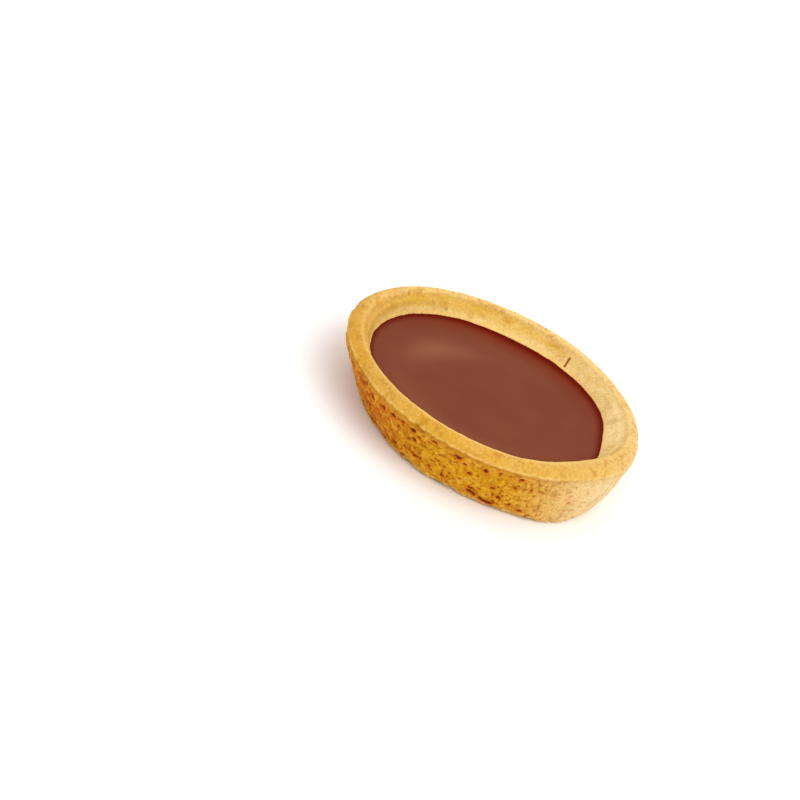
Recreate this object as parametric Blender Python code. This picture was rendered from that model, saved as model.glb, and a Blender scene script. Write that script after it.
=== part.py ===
"""A small chocolate tart: a baked biscuit shell with a solid disc of set chocolate in it.

The tart stands on its base, with the middle of the rim above the origin and +Z up. The shell
is a ring of cross sections. Each is worked out from the same few sizes, changed a little by
where it is on the tart, as baked dough is thicker here and thinner there. The outside is then
pitted, nicked and crumbled, and the whole has settled off centre, so that its wall leans out
further at -X and stands a little taller at +X. The chocolate fills the shell to its floor.
"""

import math
import random

import bmesh
import bpy
from mathutils import Vector, noise

# Driving dimensions, in metres
HEIGHT = 0.0119  # base to the top of the rim
RIDGE_RADIUS = 0.0273  # widest line of the rim
RIDGE_DROP = 0.0015  # top of the rim down to the ridge
SHOULDER_WIDTH = 0.0016  # from the ridge inwards to the flat top of the rim
LIP_RADIUS = 0.02505  # where the top of the rim turns down to the filling
LIP_STEPS = ((0.0, 0.00004), (0.00045, 0.00046), (0.0008, 0.00109))  # inwards and down from the lip
WELL_RADIUS = 0.0225  # inside of the wall at the filling's surface
FILLING_DROP = 0.0032  # top of the rim down to the filling
COLLAR_HEIGHT = 0.0014  # smooth band between the ridge and the pitted wall
COLLAR_INSET = 0.00042  # how far the ridge stands out over the wall
BASE_RADIUS = 0.0245
BASE_ROUND = 0.0016  # rounding of the bottom edge
FLOOR_THICKNESS = 0.0026
FLOOR_RADIUS = 0.0205
FLOOR_ROUND = 0.0006
GAP = 0.0003  # between the shell and the chocolate

# Where the shell is uneven: degrees about Z from +X, half width in degrees, and how much in metres
CREST_RISES = ((150, 34, 0.0004),)
RIDGE_SWELLS = ((175, 26, 0.00025), (68, 24, 0.0003), (20, 14, 0.0003), (-25, 22, 0.00035))
RIDGE_DROPS = ((-88, 18, 0.00012), (-34, 20, -0.0005), (-150, 14, -0.0003))
WALL_SWELLS = ((-28, 18, 0.00055),)
BASE_SWELLS = ((-47, 16, 0.0010), (-87, 14, -0.0004), (-150, 25, -0.00065))
LIP_SWELLS = ((-42, 20, -0.00115), (-110, 40, 0.00012))
WELL_SWELLS = ((90, 34, -0.0010), (0, 22, -0.0012), (-20, 12, -0.0003))
FLUSH_PLACES = ((-15, 40, 1.0),)  # share of the collar's inset that is gone, not metres

# Unevenness of the bake, in metres
WALL_LEAN = 0.0020  # how far the base lies off the rim's axis, towards +X
RIM_FALL = 0.0012  # how much lower the rim is at -X than at +X
PIT_DEPTH = 0.00036
PIT_RADIUS = 0.0008
GRAIN_DEPTH = 0.00007
GRAIN_SIZE = 0.0016
NICK_DEPTH = 0.00035
NICK_WIDTH = 0.0006
CRUMBLE_DEPTH = 0.0003
CRUMBLE_SIZE = 0.0023
MENISCUS_HEIGHT = 0.0002  # how far the chocolate's edge stands above its middle
MENISCUS_WIDTH = 0.0011

# Nicks in the ridge, in degrees about Z from +X, two of them close together at the front left
NICKS = (234.0, 238.5, 262.0, 301.0, 338.0, 21.0, 74.0, 118.0, 151.0, 205.0)

# Mesh steps and counts
SHELL_STEPS = 168
FILLING_STEPS = 120
EDGE_ROWS = 4
WALL_ROWS = 9
SHOULDER_ROWS = 5
SHOULDER_POWER = 1.45  # 1 gives a straight bevel, more a rounder one
PITS = 170
SEED = 20
SHARP_DEGREES = 50

PASTRY_COLOUR = (0.76, 0.43, 0.13, 1.0)
CHOCOLATE_COLOUR = (0.21, 0.055, 0.028, 1.0)

FILLING_HEIGHT = HEIGHT - FILLING_DROP


def mix(low, high, share):
    return low + (high - low) * share


def smooth_step(low, high, value):
    """0 below low, 1 above high, and an S curve between them."""
    share = min(max((value - low) / (high - low), 0.0), 1.0)
    return share * share * (3.0 - 2.0 * share)


def uneven(angle, places):
    """Sum of rounded humps around the tart, each at its place, of its width and its height."""
    total = 0.0
    for middle, width, amount in places:
        away = math.remainder(angle - math.radians(middle), math.tau) / math.radians(width)
        total += amount * math.exp(-(away**2))
    return total


def arc_between(angle, other, radius):
    """Length of the shorter arc from one angle to another."""
    return math.remainder(angle - other, math.tau) * radius


def top_height(angle):
    return HEIGHT + uneven(angle, CREST_RISES)


def ridge_height(angle):
    return top_height(angle) - RIDGE_DROP - uneven(angle, RIDGE_DROPS)


def well_radius(angle):
    return WELL_RADIUS + uneven(angle, WELL_SWELLS)


def outer_section(angle):
    """The outside of the shell at an angle as (radius, height), from its flat base up to its top."""
    base = BASE_RADIUS + uneven(angle, BASE_SWELLS)
    ridge = RIDGE_RADIUS + uneven(angle, RIDGE_SWELLS)
    inset = COLLAR_INSET * (1.0 - uneven(angle, FLUSH_PLACES))
    high = ridge_height(angle)
    wall_top = (ridge - inset, high - COLLAR_HEIGHT)
    taper = math.atan2(wall_top[0] - base, wall_top[1] - BASE_ROUND)
    points = [(base - BASE_ROUND, 0.0)]
    for row in range(1, EDGE_ROWS + 1):
        turn = mix(-math.pi / 2, -taper, row / EDGE_ROWS)
        points.append((base - BASE_ROUND * (1.0 - math.cos(turn)), BASE_ROUND * (1.0 + math.sin(turn))))
    foot = points[-1]
    for row in range(1, WALL_ROWS + 1):
        share = row / WALL_ROWS
        swollen = uneven(angle, WALL_SWELLS) * math.sin(math.pi * share)
        points.append((mix(foot[0], wall_top[0], share) + swollen, mix(foot[1], wall_top[1], share)))
    points.append((ridge - 0.8 * inset, high - 0.4 * COLLAR_HEIGHT))
    for row in range(SHOULDER_ROWS + 1):
        share = 1.0 - row / SHOULDER_ROWS
        height = top_height(angle) - (top_height(angle) - high) * share**SHOULDER_POWER
        points.append((ridge - SHOULDER_WIDTH * (1.0 - share), height))
    return points


def inner_section(angle):
    """The inside of the shell at an angle as (radius, height), from the lip down to its flat floor."""
    lip = LIP_RADIUS + uneven(angle, LIP_SWELLS)
    well = well_radius(angle)
    points = [(lip - inwards, top_height(angle) - down) for inwards, down in LIP_STEPS]
    foot = points[-1]
    points.append((mix(foot[0], well, 0.5), mix(foot[1], FILLING_HEIGHT, 0.5)))
    points.append((well, FILLING_HEIGHT))
    points.append((FLOOR_RADIUS, FLOOR_THICKNESS + FLOOR_ROUND))
    points.append((FLOOR_RADIUS - FLOOR_ROUND, FLOOR_THICKNESS))
    return points


def filling_section(angle):
    """The chocolate at an angle as (radius, height), from its flat underside to its level top."""
    edge = well_radius(angle) - GAP
    underside = FLOOR_THICKNESS + GAP
    level = FILLING_HEIGHT - MENISCUS_HEIGHT
    level_radius = edge - MENISCUS_WIDTH
    return [
        (FLOOR_RADIUS - FLOOR_ROUND - GAP, underside),
        (FLOOR_RADIUS - GAP, underside + FLOOR_ROUND),
        (edge, FILLING_HEIGHT),
        (mix(edge, level_radius, 0.3), mix(FILLING_HEIGHT, level, 0.6)),
        (level_radius, level),
        (0.66 * level_radius, level),
        (0.33 * level_radius, level),
    ]


def ring_mesh(section, steps):
    """Joins the sections at all angles into one closed mesh, with a fan over each open end."""
    mesh = bmesh.new()
    rings = []
    for step in range(steps):
        angle = math.tau * step / steps
        turned = [(radius * math.cos(angle), radius * math.sin(angle), z) for radius, z in section(angle)]
        rings.append([mesh.verts.new(point) for point in turned])
    for ring, following in zip(rings, rings[1:] + rings[:1]):
        for row in range(len(ring) - 1):
            mesh.faces.new((ring[row], following[row], following[row + 1], ring[row + 1]))
    for row in (0, -1):
        middle = mesh.verts.new((0.0, 0.0, rings[0][row].co.z))
        for ring, following in zip(rings, rings[1:] + rings[:1]):
            mesh.faces.new((middle, ring[row], following[row]))
    bmesh.ops.recalc_face_normals(mesh, faces=mesh.faces)
    return mesh


def scatter_pits():
    """Pits in the wall as (angle, height, depth), closest together just under the rim."""
    rng = random.Random(SEED)
    pits = []
    for _ in range(PITS):
        angle = rng.uniform(0.0, math.tau)
        height = mix(BASE_ROUND, ridge_height(angle) - COLLAR_HEIGHT, rng.random() ** 0.75)
        pits.append((angle, height, PIT_DEPTH * rng.uniform(0.45, 1.0)))
    return pits


def pit_depth(angle, height, pits):
    """How deep the deepest pit is at a place on the wall."""
    deepest = 0.0
    for pit_angle, pit_height, depth in pits:
        around = arc_between(angle, pit_angle, BASE_RADIUS)
        far = math.hypot(around, height - pit_height) / PIT_RADIUS
        if far < 1.0:
            deepest = max(deepest, depth * (1.0 - smooth_step(0.3, 1.0, far)))
    return deepest


def nick_depth(angle, height):
    """Small bites out of the ridge, deepest on the ridge line itself."""
    on_ridge = 1.0 - smooth_step(0.0, 0.0008, abs(height - ridge_height(angle)))
    deepest = 0.0
    for place in NICKS:
        around = arc_between(angle, math.radians(place), RIDGE_RADIUS)
        deepest = max(deepest, math.exp(-((around / NICK_WIDTH) ** 2)))
    return NICK_DEPTH * deepest * on_ridge


def crumble_depth(place):
    """Crumbs lost from the rounded bottom edge."""
    near_edge = math.exp(-(((place.z - 0.5 * BASE_ROUND) / (0.5 * BASE_ROUND)) ** 2))
    return CRUMBLE_DEPTH * near_edge * abs(noise.noise(place / CRUMBLE_SIZE))


def is_inside(radius, height):
    """Whether a place on the shell belongs to its inner side, below the lip."""
    share = (height - FLOOR_THICKNESS) / (HEIGHT - FLOOR_THICKNESS)
    return height > 0.5 * FLOOR_THICKNESS and radius < mix(FLOOR_RADIUS, LIP_RADIUS, share) + GAP


def roughen(mesh):
    """Moves the outside of the shell by its grain, pits, nicks and lost crumbs."""
    pits = scatter_pits()
    for vertex in mesh.verts:
        place = vertex.co.copy()
        if place.z < GRAIN_DEPTH or is_inside(math.hypot(place.x, place.y), place.z):
            continue
        angle = math.atan2(place.y, place.x)
        shift = GRAIN_DEPTH * noise.noise(place / GRAIN_SIZE)
        shift -= nick_depth(angle, place.z) + crumble_depth(place)
        if place.z < ridge_height(angle) - 0.5 * COLLAR_HEIGHT:
            shift -= pit_depth(angle, place.z, pits)
        vertex.co += Vector((math.cos(angle), math.sin(angle), 0.0)) * shift


def settle(mesh):
    """Shears the tart between its base and the filling: the base moves to +X, the top falls at -X."""
    for vertex in mesh.verts:
        share = min(vertex.co.z / FILLING_HEIGHT, 1.0)
        fall = RIM_FALL * (1.0 - vertex.co.x / RIDGE_RADIUS) / 2.0
        vertex.co.x += WALL_LEAN * (1.0 - share)
        vertex.co.z -= fall * share


def add_object(name, mesh, colour, roughness):
    data = bpy.data.meshes.new(name)
    mesh.to_mesh(data)
    mesh.free()
    material = bpy.data.materials.new(name)
    material.use_nodes = True
    shader = material.node_tree.nodes["Principled BSDF"]
    shader.inputs["Base Color"].default_value = colour
    shader.inputs["Roughness"].default_value = roughness
    shader.inputs["Metallic"].default_value = 0.0
    data.materials.append(material)
    data.shade_smooth()
    data.set_sharp_from_angle(angle=math.radians(SHARP_DEGREES))
    bpy.context.scene.collection.objects.link(bpy.data.objects.new(name, data))


def build_shell():
    mesh = ring_mesh(lambda angle: outer_section(angle) + inner_section(angle), SHELL_STEPS)
    roughen(mesh)
    settle(mesh)
    add_object("pastry_shell", mesh, PASTRY_COLOUR, 0.85)


def build_filling():
    mesh = ring_mesh(filling_section, FILLING_STEPS)
    settle(mesh)
    add_object("chocolate_filling", mesh, CHOCOLATE_COLOUR, 0.4)


for leftover in list(bpy.data.objects):
    bpy.data.objects.remove(leftover, do_unlink=True)
build_shell()
build_filling()
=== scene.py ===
import math
from types import SimpleNamespace

import bpy
import numpy as np
from mathutils import Matrix, Vector


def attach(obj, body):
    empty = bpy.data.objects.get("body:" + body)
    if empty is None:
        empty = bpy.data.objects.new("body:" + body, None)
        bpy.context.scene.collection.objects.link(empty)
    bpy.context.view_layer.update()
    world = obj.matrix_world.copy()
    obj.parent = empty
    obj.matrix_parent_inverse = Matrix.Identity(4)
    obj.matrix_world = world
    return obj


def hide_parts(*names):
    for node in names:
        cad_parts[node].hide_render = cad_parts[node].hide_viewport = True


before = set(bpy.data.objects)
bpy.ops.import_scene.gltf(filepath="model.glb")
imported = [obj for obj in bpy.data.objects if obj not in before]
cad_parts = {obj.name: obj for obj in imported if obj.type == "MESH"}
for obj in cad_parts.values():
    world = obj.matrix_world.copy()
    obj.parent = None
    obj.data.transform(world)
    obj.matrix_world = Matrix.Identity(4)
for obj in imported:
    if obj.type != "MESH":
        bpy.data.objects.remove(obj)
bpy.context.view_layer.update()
millimetre = 0.001
print("frame: loaded, with", len(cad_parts), "solids")


# Camera, with its sizes in metres

view = {
    "pictureSize": 800,
    "rimPixel": (498.2, 373.6),  # where the middle of the rim shows in the photograph
    "rimRadiusPixels": 159.0,
    "rimRadius": 0.0275,
    "rimHeight": 0.0112,
    "distance": 0.275,
    "tilt": 29.2,  # degrees that the camera looks down on the rim
    "roll": 26.7,  # degrees that the picture is turned, because the tart leans in it
    "sensor": 36.0,  # width in the lens's millimetres
    "nearest": 0.01,
    "farthest": 20,
}


def addCamera():
    # focal pixels = rim pixels * distance / rim radius
    focal = view["rimRadiusPixels"] * view["distance"] / view["rimRadius"]
    tilt, roll = math.radians(view["tilt"]), math.radians(view["roll"])
    # the tart's axes as the camera sees them: x right, y up, z back
    up = Vector((math.sin(roll) * math.cos(tilt), math.cos(roll) * math.cos(tilt), math.sin(tilt)))
    along = Vector((math.cos(roll), -math.sin(roll), 0))
    turn = Matrix((along, up.cross(along), up))
    middle = view["pictureSize"] / 2
    sideways = (view["rimPixel"][0] - middle) / focal * view["distance"]
    down = (view["rimPixel"][1] - middle) / focal * view["distance"]
    rimSeen = Vector((sideways, -down, -view["distance"]))
    data = bpy.data.cameras.new("photoCamera")
    data.lens = focal / view["pictureSize"] * view["sensor"]
    data.sensor_width = view["sensor"]
    data.clip_start = view["nearest"]
    data.clip_end = view["farthest"]
    camera = bpy.data.objects.new("photoCamera", data)
    bpy.context.scene.collection.objects.link(camera)
    place = turn.to_4x4()
    place.translation = Vector((0, 0, view["rimHeight"])) - turn @ rimSeen
    camera.matrix_world = place
    bpy.context.scene.camera = camera
    print("camera: lens", round(data.lens, 1), "mm")


# Fields that vary over a surface

farAway = 1e3  # further than any two places on the tart


def mix(low, high, share):
    return low + (high - low) * share


def smoothStep(low, high, value):
    # 0 below low, 1 above high, t * t * (3 - 2 * t) between them
    share = np.clip((value - low) / (high - low), 0, 1)
    return share * share * (3 - 2 * share)


def fade(low, high, value):
    # 1 below low, 0 above high
    return 1 - smoothStep(low, high, value)


def bump(value, middle, width):
    # exp(-((value - middle) / width) ^ 2): a rounded hump, 1 at its middle
    return np.exp(-(((value - middle) / width) ** 2))


def turnFrom(angle, middle):
    # radians from a place that is given in degrees, between -pi and pi
    return (angle - math.radians(middle) + math.pi) % (2 * math.pi) - math.pi


def around(angle, places):
    # sum of amount * bump(angle), for each place given as (degrees from +X, half width in degrees, amount)
    total = np.zeros(np.shape(angle))
    for middle, width, amount in places:
        total += amount * bump(turnFrom(angle, middle), 0, math.radians(width))
    return total


def latticeNoise(points, size, seed):
    # random corner values of a cubic lattice, blended by t * t * (3 - 2 * t) along each axis: -1 to 1
    period = 64
    corners = np.random.default_rng(seed).uniform(-1, 1, (period, period, period))
    scaled = points / size
    cell = np.floor(scaled).astype(int)
    ease = scaled - cell
    ease = ease * ease * (3 - 2 * ease)
    total = np.zeros(points.shape[:-1])
    for corner in np.ndindex(2, 2, 2):
        near = (cell + corner) % period
        weight = np.prod(np.abs(1 - np.array(corner) - ease), axis=-1)
        total += weight * corners[near[..., 0], near[..., 1], near[..., 2]]
    return total


def roughNoise(points, size, seed, layers):
    # sum of lattice noises, each half the size and half the height of the one before
    total = np.zeros(points.shape[:-1])
    for layer in range(layers):
        total += latticeNoise(points, size / 2**layer, seed + layer) / 2**layer
    return total


def distanceToLine(turned, height, line):
    # shortest distance to a path of straight steps between points given as (turned, height)
    nearest = np.full(turned.shape, farAway)
    for start, end in zip(line, line[1:]):
        step = np.subtract(end, start)
        share = ((turned - start[0]) * step[0] + (height - start[1]) * step[1]) / (step @ step)
        share = np.clip(share, 0, 1)
        away = np.hypot(turned - start[0] - share * step[0], height - start[1] - share * step[1])
        nearest = np.minimum(nearest, away)
    return nearest


# Grids of points

def column(values):
    return np.asarray(values)[:, None]


def steps(count):
    # that many even shares up to 1, without the 0 that the stretch before ends on
    return column(np.linspace(0, 1, count + 1)[1:])


def anglesRound(columns):
    return np.arange(columns) * 2 * math.pi / columns


def atAngle(radius, angle, height):
    # x = radius * cos(angle), y = radius * sin(angle), z = height
    return np.stack([radius * np.cos(angle), radius * np.sin(angle), height], -1)


def walkedAlong(points):
    # running sum of the straight steps between the points
    return np.concatenate([[0], np.cumsum(np.hypot(*np.diff(points, axis=0).T))])


def gridNormals(points):
    # cross product of the steps round the columns and along the rows, made unit length
    shortest = 1e-9
    aside = np.roll(points, -1, axis=1) - np.roll(points, 1, axis=1)
    onwards = np.gradient(points, axis=0)
    normals = np.cross(aside, onwards)
    return normals / np.maximum(np.linalg.norm(normals, axis=-1, keepdims=True), shortest)


def closedTurn(name, points, fields):
    # points[row, column] wraps round its columns, and a fan to a middle point closes the first and last row
    rows, columns = points.shape[:2]
    middles = np.stack([points[0].mean(0), points[-1].mean(0)])
    vertices = np.concatenate([points.reshape(-1, 3), middles]) * millimetre
    index = np.arange(rows * columns).reshape(rows, columns)
    beside = np.roll(index, -1, axis=1)
    quads = np.stack([index[:-1], beside[:-1], beside[1:], index[1:]], -1).reshape(-1, 4)
    under = np.stack([np.full(columns, rows * columns), beside[0], index[0]], -1)
    over = np.stack([np.full(columns, rows * columns + 1), index[-1], beside[-1]], -1)
    fans = np.concatenate([under, over])
    corners = np.concatenate([quads.ravel(), fans.ravel()]).astype(np.int32)
    counts = np.concatenate([np.full(len(quads), 4), np.full(len(fans), 3)])
    starts = np.concatenate([[0], np.cumsum(counts)[:-1]]).astype(np.int32)
    mesh = bpy.data.meshes.new(name)
    mesh.vertices.add(len(vertices))
    mesh.vertices.foreach_set("co", vertices.astype(np.float32).ravel())
    mesh.loops.add(len(corners))
    mesh.loops.foreach_set("vertex_index", corners)
    mesh.polygons.add(len(counts))
    mesh.polygons.foreach_set("loop_start", starts)
    mesh.update(calc_edges=True)
    mesh.validate()
    mesh.shade_smooth()
    for fieldName, values in fields.items():
        whole = np.concatenate([values.ravel(), [values[0].mean(), values[-1].mean()]])
        attribute = mesh.attributes.new(fieldName, "FLOAT", "POINT")
        attribute.data.foreach_set("value", whole.astype(np.float32))
    piece = bpy.data.objects.new(name, mesh)
    bpy.context.scene.collection.objects.link(piece)
    print("mesh:", name, "with", len(quads) * 2 + len(fans), "triangles")
    return piece


# How the tart stands: sheared between its base and the filling, as the solids are
bake = {
    "fillingHeight": 8.7,
    "ridgeRadius": 27.3,
    "lean": 2.0,  # the base lies this far off the rim's middle, towards +X
    "fall": 1.2,  # the rim is this much lower at -X than at +X
}


def settle(points):
    # share = height / filling height, at most 1; x grows by lean * (1 - share),
    # and z sinks by fall * (1 - x / ridge radius) / 2 * share
    share = np.minimum(points[..., 2] / bake["fillingHeight"], 1)
    fall = bake["fall"] * (1 - points[..., 0] / bake["ridgeRadius"]) / 2
    settled = points.copy()
    settled[..., 0] += bake["lean"] * (1 - share)
    settled[..., 2] = np.maximum(points[..., 2] - fall * share, 0)
    return settled


# Biscuit shell: its outline, then where it is uneven, as (degrees from +X, half width in degrees, amount)
shell = {
    "columns": 860,
    "height": 11.9,
    "ridgeDrop": 1.5,
    "shoulderWidth": 1.6,
    "shoulderPower": 1.45,
    "crestFall": 0.03,
    "lipRadius": 25.05,
    # inwards and down from the lip
    "lipKnots": ((0, 0.04), (0.2, 0.16), (0.45, 0.46), (0.62, 0.79), (0.8, 1.09), (1.08, 1.39)),
    "wellRadius": 22.5,
    "collarHeight": 1.4,
    "collarInset": 0.42,
    "collarPower": 2.4,
    # share of the collar's height, half width, share of its inset
    "collarFolds": ((0.18, 0.12, 0.3), (0.55, 0.2, -0.12)),
    "baseRadius": 24.5,
    "baseRound": 1.6,
    "floorRadius": 20.5,
    "floorHeight": 2.6,
    "floorRound": 0.6,
    "floorMiddle": 6.0,
    "baseShares": (0.04, 0.25, 0.5, 0.7, 0.85, 0.95),
    "edgeRows": 12,
    "wallRows": 42,
    "collarRows": 8,
    "shoulderRows": 12,
    "crestShares": (0.35, 0.7),
    "lipRows": 11,
    "slopeRows": 12,
    "wellShares": (0.05, 0.15, 0.5),
    "outsideKinds": ("base", "edge", "wall", "collar", "shoulder"),
    "crestRises": ((150, 34, 0.4),),
    "ridgeSwells": ((175, 26, 0.25), (68, 24, 0.3), (20, 14, 0.3), (-25, 22, 0.35)),
    "ridgeDrops": ((-88, 18, 0.12), (-34, 20, -0.5), (-150, 14, -0.3)),
    "wallSwells": ((-28, 18, 0.55),),
    "baseSwells": ((-47, 16, 1.0), (-87, 14, -0.4), (-150, 25, -0.65)),
    "lipSwells": ((-42, 20, -1.15), (-110, 40, 0.12)),
    "lipWidens": ((5, 42, 0.5), (165, 45, 0.45)),  # share that the lip's steps inwards grow by
    "wellSwells": ((90, 34, -1.0), (2, 20, -1.05), (-22, 10, 0.3)),
    "flushPlaces": ((-15, 40, 1.0),),  # share of the collar's inset that is gone
}

# Noises over the shell, as (size in millimetres, seed, layers)
noises = {
    "outerBand": (1.2, 28, 1),
    "collarFoot": (1.8, 29, 1),
    "warpRound": (0.6, 31, 1),
    "warpAlong": (0.6, 32, 1),
    "crowd": (3.4, 33, 1),
    "lumps": (1.7, 34, 2),
    "grain": (0.6, 37, 2),
    "ragged": (1.9, 41, 1),
    "raggedFine": (0.8, 42, 1),
    "lostCrumbs": (1.2, 44, 2),
    "crevice": (0.9, 45, 1),
    "crack": (0.5, 46, 1),
    "footChips": (1.1, 48, 2),
    "patches": (1.6, 51, 2),
    "bands": (2.2, 52, 1),
}


def shellNoise(points, name):
    return roughNoise(points, *noises[name])


def wellRadius(angle):
    return shell["wellRadius"] + around(angle, shell["wellSwells"])


def shellRows(angle):
    # (kind, radius, height) for each stretch of the outline at all angles, from the base out and up the
    # wall, over the rim and down to the floor: most are a mix of their two ends by a share from 0 to 1
    top = shell["height"] + around(angle, shell["crestRises"])
    high = top - shell["ridgeDrop"] - around(angle, shell["ridgeDrops"])
    ridge = bake["ridgeRadius"] + around(angle, shell["ridgeSwells"])
    base = shell["baseRadius"] + around(angle, shell["baseSwells"])
    lip = shell["lipRadius"] + around(angle, shell["lipSwells"])
    well = wellRadius(angle)
    inset = shell["collarInset"] * (1 - around(angle, shell["flushPlaces"]))
    wallRadius, wallHeight = ridge - inset, high - shell["collarHeight"]
    taper = np.arctan2(wallRadius - base, wallHeight - shell["baseRound"])
    rows = []

    share = column(shell["baseShares"])
    rows.append(("base", share * (base - shell["baseRound"]), 0 * share * angle))
    turn = mix(-math.pi / 2, -taper, column(np.linspace(0, 1, shell["edgeRows"])))
    edge = base - shell["baseRound"] * (1 - np.cos(turn)), shell["baseRound"] * (1 + np.sin(turn))
    rows.append(("edge", *edge))
    share = steps(shell["wallRows"])
    swollen = around(angle, shell["wallSwells"]) * np.sin(math.pi * share)
    rows.append(("wall", mix(edge[0][-1], wallRadius, share) + swollen, mix(edge[1][-1], wallHeight, share)))
    share = steps(shell["collarRows"])
    folds = share ** shell["collarPower"]
    for middle, width, amount in shell["collarFolds"]:
        folds = folds + amount * bump(share, middle, width)
    rows.append(("collar", wallRadius + inset * folds, wallHeight + shell["collarHeight"] * share))
    share = 1 - steps(shell["shoulderRows"])
    shoulder = ridge - shell["shoulderWidth"] * (1 - share)
    rows.append(("shoulder", shoulder, top - (top - high) * share ** shell["shoulderPower"]))
    share = column(shell["crestShares"])
    crest = mix(ridge - shell["shoulderWidth"], lip, share)
    rows.append(("crest", crest, top - shell["crestFall"] * share))
    knots = np.array(shell["lipKnots"])
    walk = walkedAlong(knots)
    step = column(np.linspace(0, walk[-1], shell["lipRows"]))
    widened = 1 + around(angle, shell["lipWidens"])
    inwards, down = np.interp(step, walk, knots[:, 0]), np.interp(step, walk, knots[:, 1])
    rows.append(("lip", lip - widened * inwards, top - down))
    share = steps(shell["slopeRows"])
    foot = lip - widened * knots[-1, 0], top - knots[-1, 1]
    rows.append(("slope", mix(foot[0], well, share), mix(foot[1], bake["fillingHeight"], share)))
    share = column(shell["wellShares"])
    wellFoot = shell["floorHeight"] + shell["floorRound"]
    rows.append(("well", mix(well, shell["floorRadius"], share), mix(bake["fillingHeight"], wellFoot, share)))
    floorRadius = column((shell["floorRadius"] - shell["floorRound"], shell["floorMiddle"]))
    rows.append(("floor", floorRadius, shell["floorHeight"] + 0 * floorRadius))
    rows = [(kind, radius + 0 * angle, height + 0 * angle) for kind, radius, height in rows]
    return rows, {"top": top, "high": high, "lip": lip, "wallHeight": wallHeight, "base": base}


def shellGrid():
    # the outline at every angle, before any relief; turned and walked are the distances round the wall
    # and along the outline, each warped a little by noise
    angle = anglesRound(shell["columns"])
    stretches, line = shellRows(angle)
    kinds = np.concatenate([np.full(len(height), kind) for kind, radius, height in stretches])
    radius = np.concatenate([radius for kind, radius, height in stretches])
    height = np.concatenate([height for kind, radius, height in stretches])
    plain = atAngle(radius, angle, height)
    outline = np.stack([radius.mean(1), height.mean(1)], 1)
    return SimpleNamespace(
        angle=angle,
        radius=radius,
        height=height,
        plain=plain,
        outside=column(np.isin(kinds, shell["outsideKinds"]).astype(float)),
        down=line["top"] - height,
        girth=2 * math.pi * shell["baseRadius"],
        turned=angle * shell["baseRadius"] + pits["warp"] * shellNoise(plain, "warpRound"),
        walked=column(walkedAlong(outline)) + pits["warp"] * shellNoise(plain, "warpAlong"),
        **line,
    )


# Where each kind of surface lies, in millimetres; a pair is where a smooth step starts and ends
zones = {
    "collarFoot": 0.35,  # above the top of the wall
    "collarWander": 0.35,
    "collarBlend": 0.3,
    "collarTop": 0.25,
    "wall": (0.03, 0.6),
    "base": 0.02,
    "slopeDown": (0.25, 0.7),
    "slopeHeight": (7.5, 8.4),
    "rimFoot": 0.3,  # below the ridge
    "ridgeBlend": 0.2,
    "ridgeLine": 0.2,  # half width of a line
    "lipLine": 0.36,
    "lipLineShift": 0.1,
    "lipLineDepth": 0.6,
    "fringe": 0.22,  # where the slope meets the chocolate
    "fringeRise": 0.25,
    # a painted highlight along the bottom edge
    "footHighlight": 0.4,
    "footHighlightHeight": 0.5,
    "outerBand": (0.7, 1.15),  # outside the lip
    "outerWander": 0.2,
}


def shellSurfaces(grid):
    # the share of each kind of surface or line at every place: products of smooth steps and bumps
    height, high, outside = grid.height, grid.high, grid.outside
    foot = grid.wallHeight + zones["collarFoot"]
    foot = foot + zones["collarWander"] * shellNoise(grid.plain, "collarFoot")
    belowCollar = fade(foot - zones["collarBlend"], foot + zones["collarBlend"], height)
    slope = smoothStep(*zones["slopeDown"], grid.down) * smoothStep(*zones["slopeHeight"], height)
    on = {
        "wall": outside * smoothStep(*zones["wall"], height) * belowCollar,
        "collar": outside * (1 - belowCollar) * fade(high - zones["collarTop"], high, height),
        "base": outside * (height < zones["base"]),
        "slope": (1 - outside) * slope,
        "wallSide": outside * fade(high - zones["ridgeBlend"], high + zones["ridgeBlend"], height),
        "ridgeLine": outside * bump(height, high, zones["ridgeLine"]),
        "fringe": (1 - outside) * bump(height, bake["fillingHeight"] + zones["fringeRise"], zones["fringe"]),
        "footHighlight": outside * bump(height, zones["footHighlightHeight"], zones["footHighlight"]),
    }
    left = np.clip(1 - on["wall"] - on["collar"] - on["base"] - on["slope"], 0, 1)
    on["rim"] = left * (height > high - zones["rimFoot"])
    lipLine = bump(grid.radius, grid.lip + zones["lipLineShift"], zones["lipLine"])
    on["lipLine"] = lipLine * (grid.down < zones["lipLineDepth"])
    past = grid.radius - grid.lip + zones["outerWander"] * shellNoise(grid.plain, "outerBand")
    on["outer"] = smoothStep(*zones["outerBand"], past) * on["rim"]
    return on


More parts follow.
